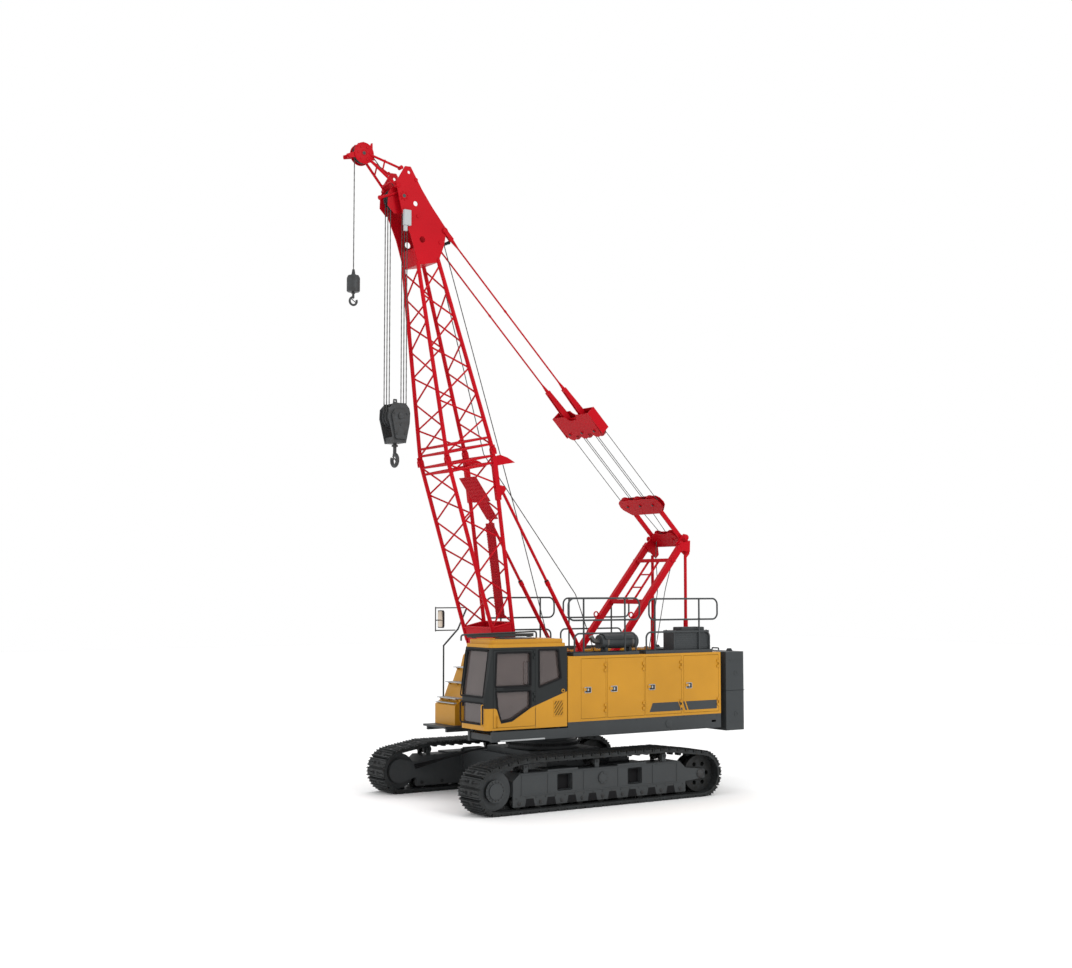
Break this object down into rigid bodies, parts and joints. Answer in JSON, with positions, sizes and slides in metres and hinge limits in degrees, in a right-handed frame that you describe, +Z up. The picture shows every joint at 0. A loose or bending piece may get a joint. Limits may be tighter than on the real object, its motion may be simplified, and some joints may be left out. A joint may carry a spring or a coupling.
{
  "type": "crawler crane",
  "caption": "Crawler crane with a two-section lattice boom, rear gantry and pendants, tubular backstops, a glazed cab on the left, hinged house doors, a main hook block and an auxiliary hook.",
  "frame": {"origin": "on the ground under the slewing axis", "axes": "+X is the crane's front, +Y its left side, +Z up"},
  "size_m": [8.18, 4.12, 12.0465],
  "materials": {
    "red_paint": "gloss",
    "yellow_paint": "gloss",
    "grey_paint": "satin",
    "track_steel": "satin",
    "rope_steel": "satin",
    "drum_steel": "satin",
    "tinted_glass": "gloss",
    "seat_cloth": "matte",
    "black_plastic": "matte"
  },
  "bodies": {
    "undercarriage": {"carbody": "grey_paint", "side_frames": "grey_paint", "track_left": "track_steel", "track_right": "track_steel", "drive_tumblers": "grey_paint", "idlers": "track_steel", "track_rollers": "track_steel"},
    "upperworks": {"deck_frame": "grey_paint", "house_left": "yellow_paint", "house_right": "yellow_paint", "engine": "drum_steel", "counterweight": "grey_paint", "cab_lower": "yellow_paint", "cab_frame": "grey_paint", "cab_roof": "yellow_paint", "cab_glass": "tinted_glass", "cab_seat": "seat_cloth", "gantry": "red_paint", "handrails": "grey_paint", "roof_gear": "grey_paint", "step_box": "yellow_paint", "side_mirror": "black_plastic", "winch_frames": "grey_paint"},
    "cab_door_leaf": {"cab_door": "grey_paint", "cab_door_glass": "tinted_glass"},
    "boom": {"boom_base": "red_paint", "boom_top": "red_paint", "boom_walkway": "red_paint", "tip_jib": "red_paint"},
    "head_sheave_set": {"head_sheaves": "grey_paint"},
    "jib_sheave_set": {"jib_sheave": "grey_paint"},
    "main_rope_set": {"main_falls": "rope_steel"},
    "block": {"hook_block": "grey_paint", "block_falls": "rope_steel"},
    "block_sheave_set": {"block_sheaves": "grey_paint"},
    "main_hook_piece": {"main_hook": "grey_paint"},
    "aux_rope": {"aux_line": "rope_steel"},
    "aux_weight": {"aux_hook_weight": "track_steel", "aux_drop": "rope_steel"},
    "aux_hook_piece": {"aux_hook": "grey_paint"},
    "stay_lower": {"lower_spreader": "red_paint", "lower_falls": "rope_steel"},
    "stay_upper": {"pendants": "red_paint", "upper_falls": "rope_steel"},
    "backstop_tube_set": {"backstop_tubes": "red_paint"},
    "backstop_rod_set": {"backstop_rods": "red_paint"},
    "drum_front": {"hoist_drum_front": "drum_steel", "front_drum_shaft": "drum_steel"},
    "drum_rear": {"hoist_drum_rear": "drum_steel"},
    "drum_luffing": {"luffing_drum": "drum_steel"},
    "door_left_1": {"house_door_left_1": "yellow_paint"},
    "door_left_2": {"house_door_left_2": "yellow_paint"},
    "door_left_3": {"house_door_left_3": "yellow_paint"},
    "door_left_4": {"house_door_left_4": "yellow_paint"},
    "door_right_1": {"house_door_right_1": "yellow_paint"},
    "door_right_2": {"house_door_right_2": "yellow_paint"},
    "door_right_3": {"house_door_right_3": "yellow_paint"}
  },
  "joints": [
    {"name": "slew", "type": "hinge", "parent": "undercarriage", "child": "upperworks", "pos_m": [0, 0, 1.04], "axis": [0, 0, 1], "continuous": true},
    {"name": "cab_door_hinge", "type": "hinge", "parent": "upperworks", "child": "cab_door_leaf", "pos_m": [1.165, 1.5105, 2.3], "axis": [0, 0, 1], "range_deg": [0, 120]},
    {"name": "door_left_1_hinge", "type": "hinge", "parent": "upperworks", "child": "door_left_1", "pos_m": [-0.416, 1.5105, 2.1], "axis": [0, 0, 1], "range_deg": [0, 90]},
    {"name": "door_left_2_hinge", "type": "hinge", "parent": "upperworks", "child": "door_left_2", "pos_m": [-1.313, 1.5105, 2.1], "axis": [0, 0, 1], "range_deg": [0, 90]},
    {"name": "door_left_3_hinge", "type": "hinge", "parent": "upperworks", "child": "door_left_3", "pos_m": [-2.219, 1.5105, 2.1], "axis": [0, 0, 1], "range_deg": [0, 90]},
    {"name": "door_left_4_hinge", "type": "hinge", "parent": "upperworks", "child": "door_left_4", "pos_m": [-3.153, 1.5105, 2.1], "axis": [0, 0, 1], "range_deg": [0, 90]},
    {"name": "door_right_1_hinge", "type": "hinge", "parent": "upperworks", "child": "door_right_1", "pos_m": [-1.175, -1.5105, 2.1], "axis": [0, 0, -1], "range_deg": [0, 90]},
    {"name": "door_right_2_hinge", "type": "hinge", "parent": "upperworks", "child": "door_right_2", "pos_m": [-2.145, -1.5105, 2.1], "axis": [0, 0, -1], "range_deg": [0, 90]},
    {"name": "door_right_3_hinge", "type": "hinge", "parent": "upperworks", "child": "door_right_3", "pos_m": [-3.153, -1.5105, 2.1], "axis": [0, 0, -1], "range_deg": [0, 90]},
    {"name": "drum_front_spin", "type": "hinge", "parent": "upperworks", "child": "drum_front", "pos_m": [-0.6, 0, 1.79], "axis": [0, 1, 0], "continuous": true},
    {"name": "drum_rear_spin", "type": "hinge", "parent": "upperworks", "child": "drum_rear", "pos_m": [-1.75, 0, 1.79], "axis": [0, 1, 0], "continuous": true},
    {"name": "drum_luffing_spin", "type": "hinge", "parent": "upperworks", "child": "drum_luffing", "pos_m": [-2.7, 0, 1.74], "axis": [0, 1, 0], "continuous": true},
    {"name": "luff", "type": "hinge", "parent": "upperworks", "child": "boom", "pos_m": [0.866, 0, 1.514], "axis": [0, 1, 0], "range_deg": [-2.5, 47.5]},
    {"name": "head_sheaves_spin", "type": "hinge", "parent": "boom", "child": "head_sheave_set", "pos_m": [3.25544, 0, 11.10006], "axis": [0, 1, 0], "continuous": true},
    {"name": "jib_sheave_spin", "type": "hinge", "parent": "boom", "child": "jib_sheave_set", "pos_m": [3.97409, 0, 11.83288], "axis": [0, 1, 0], "continuous": true},
    {"name": "main_rope_swing", "type": "hinge", "parent": "boom", "child": "main_rope_set", "pos_m": [3.25544, 0, 11.10006], "axis": [0, 1, 0], "range_deg": [-47.6, 2.6]},
    {"name": "main_hoist", "type": "slide", "parent": "main_rope_set", "child": "block", "axis": [0, 0, -1], "range_m": [0, 3.4]},
    {"name": "block_sheaves_spin", "type": "hinge", "parent": "block", "child": "block_sheave_set", "pos_m": [3.25544, 0, 7.05], "axis": [0, 1, 0], "continuous": true},
    {"name": "main_hook_swivel", "type": "hinge", "parent": "block", "child": "main_hook_piece", "pos_m": [3.25544, 0, 6.6], "axis": [0, 0, 1], "continuous": true},
    {"name": "aux_rope_swing", "type": "hinge", "parent": "boom", "child": "aux_rope", "pos_m": [3.97409, 0, 11.83288], "axis": [0, 1, 0], "range_deg": [-47.6, 2.6]},
    {"name": "aux_hoist", "type": "slide", "parent": "aux_rope", "child": "aux_weight", "axis": [0, 0, -1], "range_m": [0, 1.9]},
    {"name": "aux_hook_swivel", "type": "hinge", "parent": "aux_weight", "child": "aux_hook_piece", "pos_m": [4.12409, 0, 9.3], "axis": [0, 0, 1], "continuous": true},
    {"name": "stay_swing", "type": "hinge", "parent": "upperworks", "child": "stay_lower", "pos_m": [-3.09, 0, 4.95], "axis": [0, 1, 0], "range_deg": [-2.11, 38.2]},
    {"name": "stay_extend", "type": "slide", "parent": "stay_lower", "child": "stay_upper", "axis": [0.6984, 0, 0.7157], "range_m": [-0.2111, 3.9211]},
    {"name": "backstop_swing", "type": "hinge", "parent": "upperworks", "child": "backstop_tube_set", "pos_m": [-1.15, 0, 1.75], "axis": [0, 1, 0], "range_deg": [-1.98, 35.75]},
    {"name": "backstop_extend", "type": "slide", "parent": "backstop_tube_set", "child": "backstop_rod_set", "axis": [0.5106, 0, 0.8598], "range_m": [-0.0694, 1.2295]}
  ],
  "couplings": [
    {"joint": "main_rope_swing", "follows": "luff", "ratio": -1},
    {"joint": "aux_rope_swing", "follows": "luff", "ratio": -1},
    {"joint": "stay_swing", "follows": "luff", "ratio": 0.8022},
    {"joint": "stay_extend", "follows": "luff", "m_per_rad": 4.7238},
    {"joint": "backstop_swing", "follows": "luff", "ratio": 0.75045},
    {"joint": "backstop_extend", "follows": "luff", "m_per_rad": 1.477}
  ]
}
